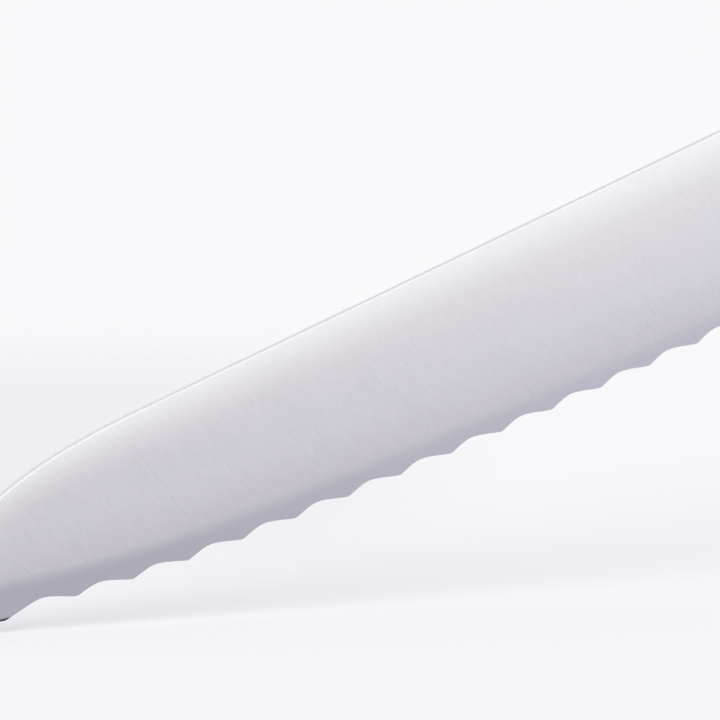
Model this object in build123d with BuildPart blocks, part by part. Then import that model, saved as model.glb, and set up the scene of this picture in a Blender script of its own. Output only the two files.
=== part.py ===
from build123d import *
import os
from math import asin, cos, radians, sin, tan

# Bread knife, in millimetres. It lies along X with the tip at -X and the butt at +X, the cutting edge looks to -Z and
# the spine to +Z, and the blade's left face looks to -Y. The origin is the middle of the hanging hole in the handle.

# --- lengths along the knife ---
blade_length = 230.0
ricasso_length = 5.0
handle_length = 119.0
bolster_length = 13.0
hole_inset = 14.0

butt_x = hole_inset
bolster_x = butt_x - handle_length
scale_x = bolster_x + bolster_length
heel_x = bolster_x - ricasso_length
tip_x = heel_x - blade_length

# --- blade outline, seen from the side ---
spine_z = 12.0
nose_start_x = tip_x + 52.5
nose_shoulder_radius = 140.0
nose_shoulder_turn = 5.3
tip_radius = 2.5
choil_radius = 4.0

# The plain edge line is two arcs that meet tangentially at the turn: a tight one to the tip, a flat one to the heel.
turn_x = tip_x + 59.5
turn_z = -16.0
turn_slope = radians(-4.9)
nose_edge_radius = 271.0
rear_edge_radius = 1608.0

# --- blade section ---
blade_thickness = 2.0
face_crown_z = spine_z - 6.0
face_crown_inset = 0.07
face_crown_slope = 0.59
face_radius = 1830.0
face_turn = 1.3
spine_ease_radius = 100.0
spine_ease_turn = 5.0
spine_break = 0.3
nose_break_z = 0.0
plunge_run = 3.0
plunge_radius = 3.0
waste_y = 6.0
left_bevel_angle = radians(7.0)
right_bevel_angle = radians(15.0)
left_edge_y = -0.08
right_edge_y = 0.05
bevel_overrun = 12.0
bevel_overcut = 0.1
bevel_floor_z = -60.0

# --- scallops: one grind into the right side only, so the left bevel stays plain and its edge is a wave ---
scallop_count = 20
scallop_pitch = 10.0
scallop_depth = 1.2
scallop_peak = 0.41
scallop_grind_angle = radians(15.0)
tooth_rounding = 0.12
plain_nose_length = 23.0
tooth_lift = 0.95
lead_in = 0.7
lead_out = 0.8

# A cut at the grind angle has to rise this many times as far as the wave that it leaves on the left bevel.
grind_rise = 1 + tan(left_bevel_angle) / tan(scallop_grind_angle)

# --- handle ---
handle_half_width = 8.75
handle_edge_radius = 5.5
butt_top = (butt_x, 8.0)
butt_bottom = (butt_x, -14.0)
butt_top_radius = 8.0
butt_bottom_radius = 5.0
grip_waist = (-20.0, -11.0)
grip_belly = (-58.0, -12.8)
grip_front_z = -10.0

# The bolsters' flanks lie a little below the wood, so that the knife lies on its scales and its tip.
bolster_inset = 0.25
bolster_front_y = 3.0
bolster_flat_length = 3.0
rounding_overrun = 10.0

# --- cutlery rivets and the tube of the hanging hole ---
rivet_stations = {"front": scale_x + 14.0, "middle": scale_x + 43.0, "rear": scale_x + 72.0}
rivet_z = -0.5
head_radius = 4.0
head_thickness = 1.6
barrel_radius = 2.4
barrel_bore_radius = 1.55
pin_radius = 1.5
barrel_end_gap = 1.0
pin_end_gap = 2.0
tube_radius = 4.0
tube_bore_radius = 3.0
fit_gap = 0.02
tang_gap = 0.1

half_tang = blade_thickness / 2
scale_thickness = handle_half_width - half_tang
bolster_thickness = scale_thickness - bolster_inset
os.makedirs("parts", exist_ok=True)


def edge_at(x, lift=0.0):
    """Height and slope angle of the edge line at station x, raised by lift at right angles to the line."""
    radius = nose_edge_radius if x < turn_x else rear_edge_radius
    centre_x = turn_x - radius * sin(turn_slope)
    centre_z = turn_z + radius * cos(turn_slope)
    slope = asin((x - centre_x) / (radius - lift))
    return centre_z - (radius - lift) * cos(slope), slope


def edge_point(x):
    return (x, edge_at(x)[0])


def edge_line(start_x, end_x):
    """The plain edge from start_x, ahead of the turn, to end_x, behind it, for a sketch in the XZ plane."""
    ThreePointArc(edge_point(start_x), edge_point((start_x + turn_x) / 2), edge_point(turn_x))
    ThreePointArc(edge_point(turn_x), edge_point((turn_x + end_x) / 2), edge_point(end_x))


def tooth_points():
    """The scallops' end points in the sketch of their grind, scallop_pitch apart along the raised edge line."""
    points = []
    x = tip_x + plain_nose_length
    for _ in range(scallop_count + 1):
        z, slope = edge_at(x, grind_rise * tooth_lift)
        points.append(Vector(x, z))
        x += scallop_pitch * cos(slope)
    return points


def peak_point(front, rear):
    """Point over a scallop at which both of its flanks aim; the curve between them reaches 3/4 of the way up to it."""
    chord = rear - front
    rise = Vector(-chord.Y, chord.X).normalized() * (grind_rise * scallop_depth * 4 / 3)
    return front + chord * scallop_peak + rise


def wave_lines(teeth):
    """The wavy edge: scallops between the teeth, whose tips are rounded, and straight flanks off both ends."""
    peaks = [peak_point(front, rear) for front, rear in zip(teeth, teeth[1:])]
    flanks = []
    for front, peak, rear in zip(teeth, peaks, teeth[1:]):
        flanks.append((front + (peak - front) * tooth_rounding, rear + (peak - rear) * tooth_rounding))
        Bezier(flanks[-1][0], peak, peak, flanks[-1][1])
    for before, tooth, after in zip(flanks, teeth[1:-1], flanks[1:]):
        Bezier(before[1], tooth, after[0])
    start = teeth[0] + (teeth[0] - peaks[0]) * lead_in
    end = teeth[-1] + (teeth[-1] - peaks[-1]) * lead_out
    Polyline(flanks[0][0], start, (start.X, bevel_floor_z), (end.X, bevel_floor_z), end, flanks[-1][1])


def handle_back_lines():
    """Top, butt and underside of the handle, from the level spine round to the front of the grip."""
    top = TangentArc((scale_x, spine_z), butt_top, tangent=(1, 0))
    butt = Line(top @ 1, butt_bottom)
    Spline(butt @ 1, grip_waist, grip_belly, (bolster_x, grip_front_z), tangents=[(-1, 0.15), (-1, 0)])


def round_butt(sketch):
    """Rounds the two corners at the butt of a sketched outline."""
    fillet(sketch.vertices().sort_by_distance(butt_top)[0], radius=butt_top_radius)
    fillet(sketch.vertices().sort_by_distance(butt_bottom)[0], radius=butt_bottom_radius)


# Metal that grinding takes off the left face: almost flat below the crown line, eased over towards the spine, and
# ending behind the heel in a rounded run-out.
crown = (half_tang - face_crown_inset, face_crown_z)
lean = radians(face_crown_slope)
with BuildPart() as face_waste:
    with BuildSketch(Plane.YZ.offset(heel_x + plunge_run)):
        with BuildLine():
            lower = JernArc(crown, (-sin(lean), -cos(lean)), face_radius, -face_turn)
            upper = JernArc(crown, (sin(lean), cos(lean)), spine_ease_radius, spine_ease_turn)
            Polyline(lower @ 1, (waste_y, (lower @ 1).Y), (waste_y, (upper @ 1).Y), upper @ 1)
        make_face()
    extrude(amount=-(blade_length + 2 * plunge_run))
    plunge_face = face_waste.faces().sort_by(Axis.X)[-1]
    fillet(plunge_face.edges().filter_by(GeomType.CIRCLE), radius=plunge_radius)

with BuildPart() as blade:
    with BuildSketch(Plane.XZ) as outline:
        with BuildLine():
            nose = JernArc((nose_start_x, spine_z), (-1, 0), nose_shoulder_radius, nose_shoulder_turn)
            TangentArc(nose @ 1, edge_point(tip_x), tangent=nose % 1)
            edge_line(tip_x, heel_x)
            Polyline(edge_point(heel_x), (heel_x, grip_front_z), (bolster_x, grip_front_z))
            handle_back_lines()
            Line((scale_x, spine_z), (nose_start_x, spine_z))
        make_face()
        round_butt(outline)
        fillet(outline.vertices().sort_by(Axis.X)[0], radius=tip_radius)
        choil = outline.vertices().filter_by_position(Axis.X, heel_x - 1, heel_x + 1).sort_by(Axis.Y)[-1]
        fillet(choil, radius=choil_radius)
    extrude(amount=half_tang, both=True)

    add(face_waste.part, mode=Mode.SUBTRACT)
    add(face_waste.part.mirror(Plane.XZ), mode=Mode.SUBTRACT)

    rim = blade.faces().filter_by(lambda face: abs(face.normal_at().Y) < 0.01 and face.center().Z > nose_break_z)
    rim_edges = rim.edges().filter_by(Axis.Y, reverse=True)
    fillet(rim_edges.filter_by(lambda edge: edge.center().X < heel_x), radius=spine_break)

    # Each bevel is what the edge line sweeps when it moves up and outwards at the bevel's angle.
    for edge_y, angle, side in ((left_edge_y, left_bevel_angle, -1), (right_edge_y, right_bevel_angle, 1)):
        with BuildSketch(Plane.XZ.offset(-edge_y)):
            with BuildLine():
                edge_line(tip_x - bevel_overrun, heel_x + bevel_overrun)
                Polyline(
                    edge_point(heel_x + bevel_overrun),
                    (heel_x + bevel_overrun, bevel_floor_z),
                    (tip_x - bevel_overrun, bevel_floor_z),
                    edge_point(tip_x - bevel_overrun),
                )
            make_face()
        bevel_reach = (half_tang + bevel_overcut) / sin(angle)
        extrude(amount=bevel_reach, dir=(0, side * sin(angle), cos(angle)), mode=Mode.SUBTRACT)

    with BuildSketch(Plane.XZ.offset(-left_edge_y)):
        with BuildLine():
            wave_lines(tooth_points())
        make_face()
    scallop_reach = (half_tang + bevel_overcut) / sin(scallop_grind_angle)
    grind_direction = (0, sin(scallop_grind_angle), cos(scallop_grind_angle))
    extrude(amount=scallop_reach, dir=grind_direction, both=True, mode=Mode.SUBTRACT)

    for x in rivet_stations.values():
        with BuildSketch(Plane.XZ.offset(half_tang)):
            with Locations((x, rivet_z)):
                Circle(barrel_radius + tang_gap)
        extrude(amount=-blade_thickness, mode=Mode.SUBTRACT)
    with BuildSketch(Plane.XZ.offset(half_tang)):
        Circle(tube_radius)
    extrude(amount=-blade_thickness, mode=Mode.SUBTRACT)

blade.part.label = "blade"
export_step(blade.part, "parts/blade.step")

for side, out in (("left", 1), ("right", -1)):
    outer = Axis((0, 0, 0), (0, -out, 0))

    with BuildPart() as bolster:
        with BuildSketch(Plane.XZ.offset(out * half_tang)) as outline:
            with BuildLine():
                Polyline((scale_x, spine_z), (bolster_x, spine_z), (bolster_x, grip_front_z))
                handle_back_lines()
            make_face()
            split(bisect_by=Plane(origin=(scale_x, 0, 0), z_dir=(-1, 0, 0)))
        extrude(amount=out * bolster_thickness)
        outer_edges = bolster.faces().sort_by(outer)[-1].edges()
        fillet(outer_edges.filter_by(Axis.Z, reverse=True), radius=handle_edge_radius)
        # The front is rounded off towards the blade, as seen from above.
        front_y = -out * bolster_front_y
        flank_y = -out * (half_tang + bolster_thickness)
        with BuildSketch(Plane.XY.offset(grip_front_z - rounding_overrun)):
            with BuildLine():
                shoulder = TangentArc((scale_x - bolster_flat_length, flank_y), (bolster_x, front_y), tangent=(-1, 0))
                Polyline(shoulder @ 1, (bolster_x - 1, front_y), (bolster_x - 1, 2 * flank_y),
                         (scale_x - bolster_flat_length, 2 * flank_y), shoulder @ 0)
            make_face()
        extrude(amount=spine_z - grip_front_z + 2 * rounding_overrun, mode=Mode.SUBTRACT)
    bolster.part.label = f"bolster_{side}"
    export_step(bolster.part, f"parts/bolster_{side}.step")

    with BuildPart() as scale:
        with BuildSketch(Plane.XZ.offset(out * half_tang)) as outline:
            with BuildLine():
                Polyline((scale_x, spine_z), (bolster_x, spine_z), (bolster_x, grip_front_z))
                handle_back_lines()
            make_face()
            round_butt(outline)
            split(bisect_by=Plane(origin=(scale_x, 0, 0), z_dir=(1, 0, 0)))
        extrude(amount=out * scale_thickness)
        outer_edges = scale.faces().sort_by(outer)[-1].edges()
        fillet(outer_edges.filter_by_position(Axis.X, scale_x + 1, butt_x + 1), radius=handle_edge_radius)
        with Locations(Plane(origin=(0, -out * handle_half_width, 0), x_dir=(1, 0, 0), z_dir=(0, -out, 0))):
            with Locations(*[(x, out * rivet_z) for x in rivet_stations.values()]):
                CounterBoreHole(barrel_radius + fit_gap, head_radius + fit_gap, head_thickness)
            Hole(tube_radius + fit_gap)
    scale.part.label = f"scale_{side}"
    export_step(scale.part, f"parts/scale_{side}.step")

barrel_end_y = handle_half_width - head_thickness - barrel_end_gap
for place, x in rivet_stations.items():
    with BuildPart() as barrel:
        with BuildSketch(Plane.XZ.offset(-handle_half_width)):
            with Locations((x, rivet_z)):
                Circle(head_radius)
        extrude(amount=head_thickness)
        with BuildSketch(Plane.XZ.offset(-handle_half_width)):
            with Locations((x, rivet_z)):
                Circle(barrel_radius)
        extrude(amount=handle_half_width + barrel_end_y)
        with BuildSketch(Plane.XZ.offset(barrel_end_y)):
            with Locations((x, rivet_z)):
                Circle(barrel_bore_radius)
        extrude(amount=-2 * barrel_end_y, mode=Mode.SUBTRACT)
    barrel.part.label = f"rivet_barrel_{place}"
    export_step(barrel.part, f"parts/rivet_barrel_{place}.step")

    with BuildPart() as pin:
        with BuildSketch(Plane.XZ.offset(handle_half_width)):
            with Locations((x, rivet_z)):
                Circle(head_radius)
        extrude(amount=-head_thickness)
        with BuildSketch(Plane.XZ.offset(handle_half_width)):
            with Locations((x, rivet_z)):
                Circle(pin_radius)
        extrude(amount=-(handle_half_width + barrel_end_y - pin_end_gap))
    pin.part.label = f"rivet_pin_{place}"
    export_step(pin.part, f"parts/rivet_pin_{place}.step")

with BuildPart() as tube:
    with BuildSketch(Plane.XZ.offset(handle_half_width)):
        Circle(tube_radius)
        Circle(tube_bore_radius, mode=Mode.SUBTRACT)
    extrude(amount=-2 * handle_half_width)
tube.part.label = "hanging_tube"
export_step(tube.part, "parts/hanging_tube.step")
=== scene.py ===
import math

import bpy
from mathutils import Matrix, Vector


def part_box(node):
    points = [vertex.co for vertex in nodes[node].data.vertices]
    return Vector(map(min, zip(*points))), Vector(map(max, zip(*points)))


# Bread knife in the row frame, in metres: +X from the tip to the butt, +Z from the edge to the spine, and the
# blade's left face towards -Y. The camera looks at the front of the blade, whose tip rests on a pale floor.

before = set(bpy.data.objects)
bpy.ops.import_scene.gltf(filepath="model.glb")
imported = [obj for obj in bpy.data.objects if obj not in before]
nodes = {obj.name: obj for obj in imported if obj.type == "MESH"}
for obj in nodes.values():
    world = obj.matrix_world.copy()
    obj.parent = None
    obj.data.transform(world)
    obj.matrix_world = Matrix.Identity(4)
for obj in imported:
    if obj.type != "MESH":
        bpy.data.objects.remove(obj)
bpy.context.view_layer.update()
blade_low, blade_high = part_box("blade")

MM = 0.001

# --- how the knife is held over the floor, and where the camera stands ---
BLADE_TILT = math.radians(22.06)
CAMERA_YAW = math.radians(25.0)
CAMERA_ELEVATION = math.radians(5.0)
CAMERA_DISTANCE = 623.4 * MM
CAMERA_LENS, SENSOR_WIDTH = 188.94, 36.0
CLIP_START, CLIP_END = 10 * MM, 50000 * MM
AIM_FROM_TIP, AIM_BELOW_SPINE = 89.6 * MM, 8.57 * MM

# --- backdrop and floor, with 1 as white ---
# Most of the floor's light is its own glow, so that shadows on it stay pale.
BACKDROP = (0.9473, 0.9473, 0.9647, 1.0)
FLOOR_GLOW = (0.606, 0.600, 0.652, 1.0)
FLOOR_COLOUR = (0.29, 0.29, 0.29)
FLOOR_ROUGHNESS, FLOOR_SPECULAR = 0.9, 0.2
FLOOR_RADIUS, FLOOR_SIDES = 750 * MM, 96
FADE_START, FADE_END = 0.47 * FLOOR_RADIUS, 0.90 * FLOOR_RADIUS
# A painted shadow darkens the floor behind the tip by this share, from these depths behind it and out to
# these distances to its right.
FLOOR_PAINTED_SHADOW = 0.085
PAINTED_SHADOW_START, PAINTED_SHADOW_END = 10 * MM, 200 * MM
PAINTED_SHADOW_SIDE_START, PAINTED_SHADOW_SIDE_END = 40 * MM, 110 * MM

# --- the room that steel reflects and the dome that lights matt surfaces ---
# A span gives the heights over the horizon, or the depths behind the knife, between which something changes,
# as parts of a unit direction.
ROOM_TINT = (0.99, 0.985, 1.0, 1.0)
ROOM_LOW, ROOM_HIGH, ROOM_SPAN = 0.42, 1.45, (-0.38, 0.20)
CEILING, CEILING_SPAN = 0.44, (0.35, 0.80)
GROUND, GROUND_SPAN = 0.95, (-0.45, -0.85)
FAR_SHADE, FAR_SPAN = 0.92, (0.1, 0.6)
BACK_WALL, BACK_WALL_SPAN = 1.10, (0.75, 0.92)
DOME, DOME_SPAN = 0.63, (0.2, 0.9)
WARM, NEUTRAL = (0.98, 1.0, 0.88), (1.0, 1.0, 1.0)

# --- the blade's outline: the nose's two arcs in the spine, and the plain edge line's two arcs ---
NOSE_FROM_TIP, NOSE_RADIUS = 49.4 * MM, 140.0 * MM
POINT_FROM_TIP, POINT_RADIUS = 36.5 * MM, 76.8 * MM
TURN_FROM_TIP, TURN_BELOW_SPINE, TURN_SLOPE = 56.4 * MM, 28.0 * MM, math.radians(-4.9)
NOSE_EDGE_RADIUS, REAR_EDGE_RADIUS = 271.0 * MM, 1608.0 * MM

# --- its left face in section: half thicknesses, and how the face falls away below its crown line ---
EDGE_HALF, CROWN_HALF, CROWN_Z = 0.08 * MM, 0.93 * MM, 6.0 * MM
FACE_LEAN, FACE_RADIUS, BEVEL_ANGLE = math.radians(0.59), 1830.0 * MM, math.radians(7.0)
SHOULDER_SOFTNESS = 1.0 * MM

# --- how its faces roll over towards the spine and the bevels ---
SPINE_ROLL, SPINE_ROLL_POWER = math.radians(5.0), 2.4
SPINE_ROLL_FRONT, SPINE_ROLL_REAR, SPINE_ROLL_RUN = 4.0 * MM, 27.0 * MM, 145.0 * MM
SHOULDER_ROLL, SHOULDER_ROLL_POWER = math.radians(-3.2), 1.4
SHOULDER_ROLL_LOW, SHOULDER_ROLL_HIGH = 3.0 * MM, 14.0 * MM

# --- how its surfaces are told apart ---
# A bevel's normal points down past BEVEL_FACING. The spine's turns away from Y through SPINE_FACING, and the
# spine is over the edge line by more than SPINE_CLEAR.
BEVEL_FACING = -0.06
SPINE_FACING = (0.998, 0.97)
SPINE_CLEAR = (4.0 * MM, 7.0 * MM)
# A painted shade turns the blade near-black up to these heights over its edge line.
EDGE_SHADE_FULL, EDGE_SHADE_END = 0.25 * MM, 0.55 * MM

# --- how brightly the blade's steel reflects, and in what tint, with painted light and shade on the spine, edge and bevels ---
# The spine's level paints the tone of the line along its rounding; the edge strip's is a near-black painted
# shade.
FACE_LEVEL, SPINE_LEVEL, EDGE_SHADE_LEVEL = 0.74, 0.83, 0.15
# The bevels' darker level, paler towards the handle, is a painted darker reflection.
BEVEL_LEVEL_FRONT, BEVEL_LEVEL_REAR = 0.655, 0.735
BEVEL_FRONT, BEVEL_REAR = 35.0 * MM, 120.0 * MM
# The tint near the spine paints the tint of its highlight, and the bevels' bluer tint that of their
# reflection.
FACE_TINT = (1.0, 0.974, 1.035, 1.0)
SPINE_TINT = (1.0, 0.992, 1.010, 1.0)
BEVEL_TINT = (1.0, 0.979, 1.115, 1.0)

# --- its grind: grain in features per metre across, through and along the lines, and spans of noise ---
# The lines lean towards the handle at their lower ends.
GRIND_LEAN = math.radians(17.0)
LINE_GRAIN, LINE_SPAN = (4600.0, 400.0, 480.0), (0.3, 0.7)
STREAK_GRAIN, STREAK_SPAN = (2300.0, 200.0, 190.0), (0.45, 0.75)
PATCH_GRAIN, PATCH_SPAN = (110.0, 60.0, 80.0), (0.4, 0.65)
LINE_DEPTH, STREAK_DEPTH, BEVEL_DEPTH_SHARE = 0.026, 0.034, 0.35
FACE_ROUGHNESS, BEVEL_ROUGHNESS, SPINE_ROUGHNESS, LINE_ROUGHNESS = 0.30, 0.34, 0.60, 0.8
FACE_BUMP, BEVEL_BUMP, STREAK_BUMP = 0.06, 0.02, 0.4
ANISOTROPY = 0.80
SCRATCH_DEPTH = 0.004 * MM

# --- the fittings' steel: how reflectivity and roughness vary, and how long its scratches are ---
FITTING_TONES, FITTING_ROUGHNESS = (0.93, 1.05), (0.85, 1.15)
FITTING_BUMP, SCRATCH_STRETCH = 0.08, 0.04

# --- the handle's wood: grain in features per metre along the handle and both ways across it ---
BAND_GRAIN, BAND_SPAN = (10.0, 160.0, 190.0), (0.34, 0.66)
FIBRE_GRAIN, FIBRE_SPAN, FIBRE_ROUGH_SPAN = (90.0, 2600.0, 2600.0), (0.35, 0.75), (0.2, 0.8)
PORE_GRAIN, PORE_SPAN = (220.0, 3600.0, 3600.0), (0.66, 0.74)
WOOD_DARK, WOOD_WARM = (0.030, 0.011, 0.006, 1.0), (0.120, 0.045, 0.020, 1.0)
FIBRE_COLOUR, PORE_COLOUR = (0.022, 0.009, 0.005, 1.0), (0.010, 0.004, 0.003, 1.0)
FIBRE_STRENGTH, PORE_STRENGTH = 0.45, 0.8
WOOD_ROUGHNESS = (0.34, 0.52)
WOOD_BUMP, WOOD_BUMP_DEPTH, FIBRE_BUMP = 0.35, 0.03 * MM, 0.4
OIL_COAT, OIL_ROUGHNESS = 0.15, 0.25

UP = Vector((math.sin(BLADE_TILT), 0, math.cos(BLADE_TILT)))
ALONG = Vector((math.cos(BLADE_TILT), 0, -math.sin(BLADE_TILT)))
AWAY = Vector((0, 1, 0))
DEEP = math.cos(CAMERA_YAW) * AWAY + math.sin(CAMERA_YAW) * ALONG
RIGHT = math.cos(CAMERA_YAW) * ALONG - math.sin(CAMERA_YAW) * AWAY


def direction(yaw, elevation):
    """Unit vector from the knife towards a point at that yaw from the left face's side and that elevation."""
    level = -math.sin(yaw) * ALONG - math.cos(yaw) * AWAY
    return math.cos(elevation) * level + math.sin(elevation) * UP


def aimed(obj, position, target):
    """Puts obj at position with its -Z axis towards target and its Y axis as near UP as it can be."""
    back = (position - target).normalized()
    right = UP.cross(back).normalized()
    turn = Matrix((right, back.cross(right), back)).transposed()
    obj.matrix_world = Matrix.Translation(position) @ turn.to_4x4()
    bpy.context.scene.collection.objects.link(obj)


# ---------------------------------------------------------------- node helpers

def feed(tree, socket, value):
    """Sets an input to a value, or links another node's output to it."""
    if isinstance(value, bpy.types.NodeSocket):
        tree.links.new(value, socket)
    else:
        socket.default_value = value


def add(tree, kind, inputs=None, **settings):
    """Adds a node. inputs maps an input's name or number to a value or to another node's output."""
    node = tree.nodes.new(kind)
    for name, value in settings.items():
        setattr(node, name, value)
    for key, value in (inputs or {}).items():
        feed(tree, node.inputs[key], value)
    return node


def wire(tree, shader, **inputs):
    """Sets the shader's inputs, named with _ for a space, to values or to other nodes' outputs."""
    for name, value in inputs.items():
        feed(tree, shader.inputs[name.replace("_", " ")], value)


def maths(tree, operation, *values):
    """The result of an operation on one or two numbers."""
    return add(tree, "ShaderNodeMath", dict(enumerate(values)), operation=operation).outputs[0]


def vector_maths(tree, operation, *vectors):
    """The outputs of an operation on one or two vectors: "Vector" and "Value"."""
    return add(tree, "ShaderNodeVectorMath", dict(enumerate(vectors)), operation=operation).outputs


def scaled(tree, vector, factor):
    """The vector or colour, multiplied by a number."""
    node = add(tree, "ShaderNodeVectorMath", {0: vector, "Scale": factor}, operation="SCALE")
    return node.outputs["Vector"]


def reach_along(tree, vector, axis):
    """How far a vector reaches along an axis."""
    return vector_maths(tree, "DOT_PRODUCT", vector, tuple(axis))["Value"]


def axes(tree, vector):
    """The vector's X, Y and Z."""
    return add(tree, "ShaderNodeSeparateXYZ", {"Vector": vector}).outputs


def surface_normal(tree):
    """The mesh's own normal."""
    return add(tree, "ShaderNodeNewGeometry").outputs["Normal"]


def ramp(tree, value, low, high, to_low=0.0, to_high=1.0, smooth=False):
    """value mapped from low..high to to_low..to_high, and held there outside."""
    kind = "SMOOTHSTEP" if smooth else "LINEAR"
    inputs = {"Value": value, "From Min": low, "From Max": high, "To Min": to_low, "To Max": to_high}
    return add(tree, "ShaderNodeMapRange", inputs, interpolation_type=kind).outputs[0]


def between(tree, share, first, second):
    """A number that runs from first where share is 0 to second where it is 1."""
    return ramp(tree, share, 0.0, 1.0, first, second)


def choose(tree, condition, when_true, when_false):
    """One of two numbers, or a mixture of them where the condition lies between 0 and 1."""
    return maths(tree, "ADD", maths(tree, "MULTIPLY", condition, when_true),
                 maths(tree, "MULTIPLY", maths(tree, "SUBTRACT", 1.0, condition), when_false))


def blend_colour(tree, factor, first, second):
    """first where the factor is 0 and second where it is 1. The Mix node's colour sockets go by number."""
    node = add(tree, "ShaderNodeMix", {0: factor}, data_type="RGBA")
    feed(tree, node.inputs[6], first)
    feed(tree, node.inputs[7], second)
    return node.outputs[2]


def stretched_noise(tree, place, scale, detail=2.0, roughness=0.5):
    """Noise whose grain is set by scale, in features per metre along each of place's axes."""
    mapping = add(tree, "ShaderNodeMapping", {"Vector": place, "Scale": scale})
    inputs = {"Vector": mapping.outputs[0], "Scale": 1.0, "Detail": detail, "Roughness": roughness}
    return add(tree, "ShaderNodeTexNoise", inputs).outputs[0]


def new_material(name):
    """An empty material, with its tree, its Principled node and the place on the object as a vector."""
    material = bpy.data.materials.new(name)
    material.use_nodes = True
    tree = material.node_tree
    tree.nodes.clear()
    shader = add(tree, "ShaderNodeBsdfPrincipled")
    add(tree, "ShaderNodeOutputMaterial", {"Surface": shader.outputs[0]})
    return material, tree, shader, add(tree, "ShaderNodeTexCoord").outputs["Object"]


# ---------------------------------------------------------------- the blade's steel

def distance_to(tree, place, x, z):
    """Distance from a line along Y through (x, z)."""
    flat = vector_maths(tree, "MULTIPLY", place, (1.0, 0.0, 1.0))["Vector"]
    return vector_maths(tree, "DISTANCE", flat, (x, 0.0, z))["Value"]


def spine_depth(tree, place):
    """How far below the spine a point of the blade is: the spine is level, then two arcs down to the tip."""
    nose_x, nose_z = blade_low.x + NOSE_FROM_TIP, blade_high.z - NOSE_RADIUS
    lean = math.asin((POINT_FROM_TIP - NOSE_FROM_TIP) / NOSE_RADIUS)
    offset = NOSE_RADIUS - POINT_RADIUS
    point_x, point_z = nose_x + offset * math.sin(lean), nose_z + offset * math.cos(lean)
    x, _, z = axes(tree, place)
    level = maths(tree, "SUBTRACT", blade_high.z, z)
    nose = maths(tree, "SUBTRACT", NOSE_RADIUS, distance_to(tree, place, nose_x, nose_z))
    point = maths(tree, "SUBTRACT", POINT_RADIUS, distance_to(tree, place, point_x, point_z))
    past_point = maths(tree, "LESS_THAN", x, blade_low.x + POINT_FROM_TIP)
    past_nose = maths(tree, "LESS_THAN", x, nose_x)
    return choose(tree, past_nose, choose(tree, past_point, point, nose), level)


def edge_height(tree, place):
    """How far above the plain edge line a point of the blade is: two arcs that meet at the turn."""
    turn_x, turn_z = blade_low.x + TURN_FROM_TIP, blade_high.z - TURN_BELOW_SPINE
    heights = []
    for radius in (NOSE_EDGE_RADIUS, REAR_EDGE_RADIUS):
        centre = turn_x - radius * math.sin(TURN_SLOPE), turn_z + radius * math.cos(TURN_SLOPE)
        heights.append(maths(tree, "SUBTRACT", radius, distance_to(tree, place, *centre)))
    return choose(tree, maths(tree, "LESS_THAN", axes(tree, place)["X"], turn_x), *heights)


def bevel_share(tree, place, height, down):
    """0 on the blade's faces and 1 on its bevels, with a soft change across the left bevel's shoulder."""
    _, y, z = axes(tree, place)
    below_crown = maths(tree, "SUBTRACT", CROWN_Z, z)
    thinning = maths(tree, "ADD", maths(tree, "MULTIPLY", below_crown, math.tan(FACE_LEAN)),
                     maths(tree, "DIVIDE", maths(tree, "POWER", below_crown, 2.0), 2.0 * FACE_RADIUS))
    face_half = maths(tree, "SUBTRACT", CROWN_HALF - EDGE_HALF, thinning)
    above = maths(tree, "SUBTRACT", height, maths(tree, "DIVIDE", face_half, math.tan(BEVEL_ANGLE)))
    soft = ramp(tree, above, SHOULDER_SOFTNESS, -SHOULDER_SOFTNESS, smooth=True)
    return choose(tree, maths(tree, "LESS_THAN", y, 0.0), soft, down)


def rolled_normal(tree, height, down, bevel, spine):
    """The blade's normal, tilted where the faces roll over and carried softly across the left shoulder."""
    shoulder = maths(tree, "POWER", ramp(tree, height, SHOULDER_ROLL_HIGH, SHOULDER_ROLL_LOW),
                     SHOULDER_ROLL_POWER)
    roll = maths(tree, "ADD", maths(tree, "MULTIPLY", spine, math.tan(SPINE_ROLL)),
                 maths(tree, "MULTIPLY", shoulder, math.tan(SHOULDER_ROLL)))
    roll = maths(tree, "MULTIPLY", roll, maths(tree, "SUBTRACT", 1.0, bevel))
    carry = maths(tree, "MULTIPLY", maths(tree, "SUBTRACT", down, bevel), math.tan(BEVEL_ANGLE))
    lift = add(tree, "ShaderNodeCombineXYZ", {"Z": maths(tree, "ADD", roll, carry)}).outputs[0]
    tilted = vector_maths(tree, "ADD", surface_normal(tree), lift)["Vector"]
    return vector_maths(tree, "NORMALIZE", tilted)["Vector"]


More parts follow.
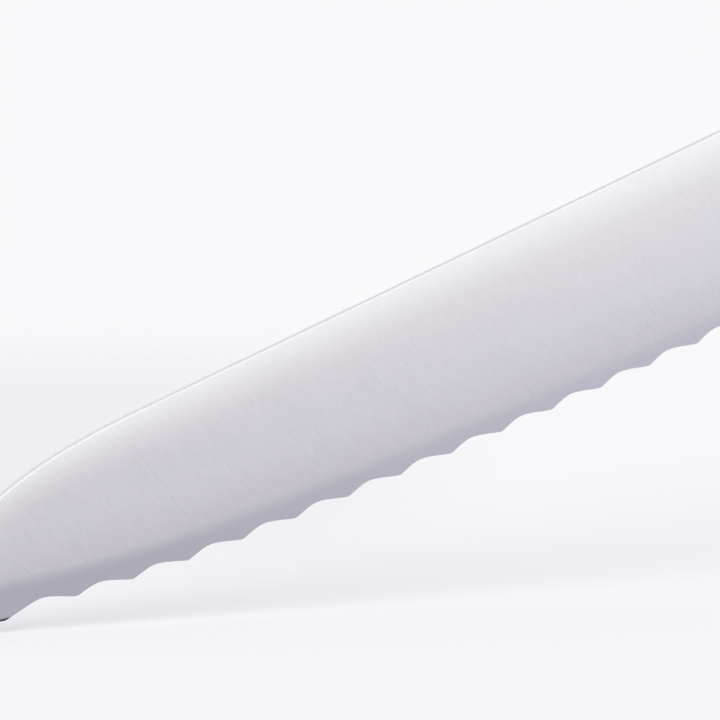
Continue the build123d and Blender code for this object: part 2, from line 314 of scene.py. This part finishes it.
def blade_steel():
    """Satin stainless steel, ground across the blade, with a finer finish and a painted darker, bluer
    reflection on the bevels. The faces roll over gently towards the spine and the bevels; painted near-black
    shade lies along the edge line."""
    material, tree, shader, place = new_material("blade_steel")
    along = axes(tree, place)["X"]
    facing = axes(tree, surface_normal(tree))
    height = edge_height(tree, place)

    down = maths(tree, "LESS_THAN", facing["Z"], BEVEL_FACING)
    bevel = bevel_share(tree, place, height, down)
    reach = ramp(tree, along, blade_low.x, blade_low.x + SPINE_ROLL_RUN,
                 SPINE_ROLL_FRONT, SPINE_ROLL_REAR)
    spine = maths(tree, "POWER", ramp(tree, spine_depth(tree, place), reach, 0.0), SPINE_ROLL_POWER)
    back = maths(tree, "MULTIPLY", ramp(tree, maths(tree, "ABSOLUTE", facing["Y"]), *SPINE_FACING),
                 ramp(tree, height, *SPINE_CLEAR))
    # Painted shade: near-black along the edge line.
    edge_shade = ramp(tree, height, EDGE_SHADE_END, EDGE_SHADE_FULL, smooth=True)

    grind = add(tree, "ShaderNodeVectorRotate", {"Vector": place, "Angle": GRIND_LEAN},
                rotation_type="Y_AXIS").outputs[0]
    lines = stretched_noise(tree, grind, LINE_GRAIN, detail=3.0, roughness=0.6)
    streaks = stretched_noise(tree, grind, STREAK_GRAIN)
    patches = stretched_noise(tree, grind, PATCH_GRAIN)
    fine = ramp(tree, lines, *LINE_SPAN, -LINE_DEPTH, LINE_DEPTH)
    broad = maths(tree, "MULTIPLY", ramp(tree, streaks, *STREAK_SPAN, 0.0, STREAK_DEPTH),
                  ramp(tree, patches, *PATCH_SPAN))
    texture = maths(tree, "SUBTRACT", fine, broad)

    # The bevels' lower level is a painted darker reflection.
    bevel_level = ramp(tree, along, blade_low.x + BEVEL_FRONT, blade_low.x + BEVEL_REAR,
                       BEVEL_LEVEL_FRONT, BEVEL_LEVEL_REAR)
    depth = maths(tree, "MULTIPLY", texture, between(tree, bevel, 1.0, BEVEL_DEPTH_SHARE))
    level = maths(tree, "ADD", depth, between(tree, bevel, FACE_LEVEL, bevel_level))
    level = maths(tree, "MULTIPLY", level, between(tree, edge_shade, 1.0, EDGE_SHADE_LEVEL))
    # The spine's own level paints the tone of the line it reflects.
    level = choose(tree, back, SPINE_LEVEL, level)
    # The tints paint the highlight near the spine and the bluer reflection in the bevels.
    tint = blend_colour(tree, bevel, blend_colour(tree, spine, FACE_TINT, SPINE_TINT), BEVEL_TINT)
    rough = maths(tree, "ADD", between(tree, bevel, FACE_ROUGHNESS, BEVEL_ROUGHNESS),
                  maths(tree, "MULTIPLY", texture, LINE_ROUGHNESS))
    rough = choose(tree, back, SPINE_ROUGHNESS, rough)

    scratches = maths(tree, "ADD", lines, maths(tree, "MULTIPLY", streaks, STREAK_BUMP))
    bump = add(tree, "ShaderNodeBump", {"Strength": between(tree, bevel, FACE_BUMP, BEVEL_BUMP),
                                        "Distance": SCRATCH_DEPTH, "Height": scratches,
                                        "Normal": rolled_normal(tree, height, down, bevel, spine)})
    across = add(tree, "ShaderNodeCombineXYZ", {"X": math.cos(GRIND_LEAN), "Z": math.sin(GRIND_LEAN)})
    wire(tree, shader, Base_Color=scaled(tree, tint, level), Metallic=1.0, Roughness=rough,
         Anisotropic=between(tree, back, ANISOTROPY, 0.0), Tangent=across.outputs[0],
         Normal=bump.outputs[0])
    return material


# ---------------------------------------------------------------- the handle's materials

def plain_steel(name, level, roughness, grain):
    """Finely finished steel for the small fittings: faint scratches of that grain, in lines per metre."""
    material, tree, shader, place = new_material(name)
    long_grain = grain * SCRATCH_STRETCH
    lines = stretched_noise(tree, place, (long_grain, long_grain, grain), detail=3.0)
    tone = ramp(tree, lines, *LINE_SPAN, *(level * share for share in FITTING_TONES))
    rough = ramp(tree, lines, *LINE_SPAN, *(roughness * share for share in FITTING_ROUGHNESS))
    colour = add(tree, "ShaderNodeCombineColor", {channel: tone for channel in range(3)}).outputs[0]
    bump = add(tree, "ShaderNodeBump",
               {"Strength": FITTING_BUMP, "Distance": SCRATCH_DEPTH, "Height": lines})
    wire(tree, shader, Base_Color=colour, Metallic=1.0, Roughness=rough, Normal=bump.outputs[0])
    return material


def handle_wood():
    """Oiled dark hardwood with its grain along the handle."""
    material, tree, shader, place = new_material("handle_wood")
    bands = stretched_noise(tree, place, BAND_GRAIN, detail=4.0, roughness=0.55)
    fibre = stretched_noise(tree, place, FIBRE_GRAIN, detail=3.0)
    pore = ramp(tree, stretched_noise(tree, place, PORE_GRAIN, detail=1.0), *PORE_SPAN)
    colour = blend_colour(tree, ramp(tree, bands, *BAND_SPAN), WOOD_DARK, WOOD_WARM)
    colour = blend_colour(tree, ramp(tree, fibre, *FIBRE_SPAN, 0.0, FIBRE_STRENGTH), colour, FIBRE_COLOUR)
    colour = blend_colour(tree, maths(tree, "MULTIPLY", pore, PORE_STRENGTH), colour, PORE_COLOUR)
    height = maths(tree, "SUBTRACT", maths(tree, "MULTIPLY", fibre, FIBRE_BUMP), pore)
    bump = add(tree, "ShaderNodeBump",
               {"Strength": WOOD_BUMP, "Distance": WOOD_BUMP_DEPTH, "Height": height})
    wire(tree, shader, Base_Color=colour, Roughness=ramp(tree, fibre, *FIBRE_ROUGH_SPAN, *WOOD_ROUGHNESS),
         Normal=bump.outputs[0], Coat_Weight=OIL_COAT, Coat_Roughness=OIL_ROUGHNESS)
    return material


def dress(names, material):
    """Gives these pieces that one material."""
    for name in names:
        nodes[name].data.materials.clear()
        nodes[name].data.materials.append(material)


# ---------------------------------------------------------------- staging

def make_camera():
    """A long lens at the front left of the blade, a little above it."""
    camera = bpy.data.objects.new("camera", bpy.data.cameras.new("camera"))
    camera.data.lens = CAMERA_LENS
    camera.data.sensor_width = SENSOR_WIDTH
    camera.data.clip_start = CLIP_START
    camera.data.clip_end = CLIP_END
    aim = Vector((blade_low.x + AIM_FROM_TIP, 0.5 * blade_low.y, blade_high.z - AIM_BELOW_SPINE))
    aimed(camera, aim + CAMERA_DISTANCE * direction(CAMERA_YAW, CAMERA_ELEVATION), aim)
    bpy.context.scene.camera = camera


def make_floor():
    """A pale round floor square to UP that the blade's lowest point just touches. It fades out towards its
    rim, and a painted shadow darkens it a little behind the tip, fading out towards the right."""
    lowest = min((vertex.co for vertex in nodes["blade"].data.vertices), key=UP.dot)
    turns = [2 * math.pi * i / FLOOR_SIDES for i in range(FLOOR_SIDES)]
    rim = [lowest + FLOOR_RADIUS * (math.cos(turn) * ALONG + math.sin(turn) * AWAY) for turn in turns]
    mesh = bpy.data.meshes.new("floor")
    mesh.from_pydata(rim, [], [list(range(FLOOR_SIDES))])
    floor = bpy.data.objects.new("floor", mesh)
    bpy.context.scene.collection.objects.link(floor)

    material, tree, shader, place = new_material("floor")
    from_tip = vector_maths(tree, "SUBTRACT", place, tuple(lowest))["Vector"]
    distance = vector_maths(tree, "LENGTH", from_tip)["Value"]
    fade = ramp(tree, distance, FADE_START, FADE_END, 1.0, 0.0, smooth=True)
    # Painted shadow: the floor's colour and glow darken behind the tip, fading out towards the right.
    deep = ramp(tree, reach_along(tree, from_tip, DEEP), PAINTED_SHADOW_START, PAINTED_SHADOW_END,
                0.0, FLOOR_PAINTED_SHADOW, smooth=True)
    left = ramp(tree, reach_along(tree, from_tip, RIGHT), PAINTED_SHADOW_SIDE_START, PAINTED_SHADOW_SIDE_END,
                1.0, 0.0, smooth=True)
    shade = maths(tree, "SUBTRACT", 1.0, maths(tree, "MULTIPLY", deep, left))
    wire(tree, shader, Base_Color=scaled(tree, FLOOR_COLOUR, shade), Emission_Color=FLOOR_GLOW,
         Emission_Strength=shade, Roughness=FLOOR_ROUGHNESS, Specular_IOR_Level=FLOOR_SPECULAR, Alpha=fade)
    mesh.materials.append(material)
    floor.visible_glossy = False


def make_world():
    """The camera sees a pale backdrop directly. Steel reflects a room that is dim below the horizon, bright
    over it and dimmer again overhead, with an even wall behind the knife. A dome overhead lights the rest."""
    world = bpy.data.worlds.new("studio")
    world.use_nodes = True
    tree = world.node_tree
    tree.nodes.clear()
    towards = add(tree, "ShaderNodeTexCoord").outputs["Generated"]
    height, behind = (reach_along(tree, towards, axis) for axis in (UP, AWAY))

    strength = ramp(tree, height, *ROOM_SPAN, ROOM_LOW, ROOM_HIGH)
    for value, span, share in ((height, CEILING_SPAN, CEILING / ROOM_HIGH),
                               (height, GROUND_SPAN, GROUND / ROOM_LOW),
                               (behind, FAR_SPAN, FAR_SHADE)):
        strength = maths(tree, "MULTIPLY", strength, ramp(tree, value, *span, 1.0, share, smooth=True))
    strength = choose(tree, ramp(tree, behind, *BACK_WALL_SPAN, smooth=True), BACK_WALL, strength)
    overhead = ramp(tree, height, *DOME_SPAN, 0.0, DOME, smooth=True)

    room = add(tree, "ShaderNodeBackground", {"Color": ROOM_TINT, "Strength": strength}).outputs[0]
    dome = add(tree, "ShaderNodeBackground", {"Color": (*NEUTRAL, 1.0), "Strength": overhead}).outputs[0]
    backdrop = add(tree, "ShaderNodeBackground", {"Color": BACKDROP, "Strength": 1.0}).outputs[0]
    path = add(tree, "ShaderNodeLightPath").outputs
    lit = add(tree, "ShaderNodeMixShader", {0: path["Is Glossy Ray"], 1: dome, 2: room}).outputs[0]
    seen = add(tree, "ShaderNodeMixShader", {0: path["Is Camera Ray"], 1: lit, 2: backdrop}).outputs[0]
    add(tree, "ShaderNodeOutputWorld", {"Surface": seen})
    bpy.context.scene.world = world


def make_sun(name, yaw, elevation, width, strength, colour, reflected):
    """Even light from a disc that is width degrees across, however far away a surface is. It is either
    reflected by glossy surfaces only or lights matt ones only."""
    light = bpy.data.lights.new(name, "SUN")
    light.angle = math.radians(width)
    light.energy = strength
    light.color = colour
    lamp = bpy.data.objects.new(name, light)
    aimed(lamp, direction(math.radians(yaw), math.radians(elevation)), Vector((0, 0, 0)))
    lamp.visible_glossy = reflected
    lamp.visible_diffuse = not reflected


make_camera()
make_world()
make_floor()
make_sun("sheen", yaw=15.0, elevation=68.0, width=80.0, strength=1.02, colour=NEUTRAL, reflected=True)
make_sun("fill", yaw=25.0, elevation=57.0, width=62.0, strength=2.35, colour=WARM, reflected=False)

bolster_steel = plain_steel("bolster_steel", level=0.62, roughness=0.26, grain=5000.0)
rivet_steel = plain_steel("rivet_steel", level=0.66, roughness=0.30, grain=6000.0)
tube_steel = plain_steel("tube_steel", level=0.60, roughness=0.28, grain=6000.0)
dress(["blade"], blade_steel())
dress(["bolster_left", "bolster_right"], bolster_steel)
dress(["scale_left", "scale_right"], handle_wood())
dress([name for name in nodes if name.startswith("rivet")], rivet_steel)
dress(["hanging_tube"], tube_steel)

bpy.context.scene.view_settings.view_transform = "Standard"
bpy.context.scene.view_settings.look = "None"
# Light that the blade throws on to the floor would show as bright bands in its shadow.
bpy.context.scene.cycles.caustics_reflective = False
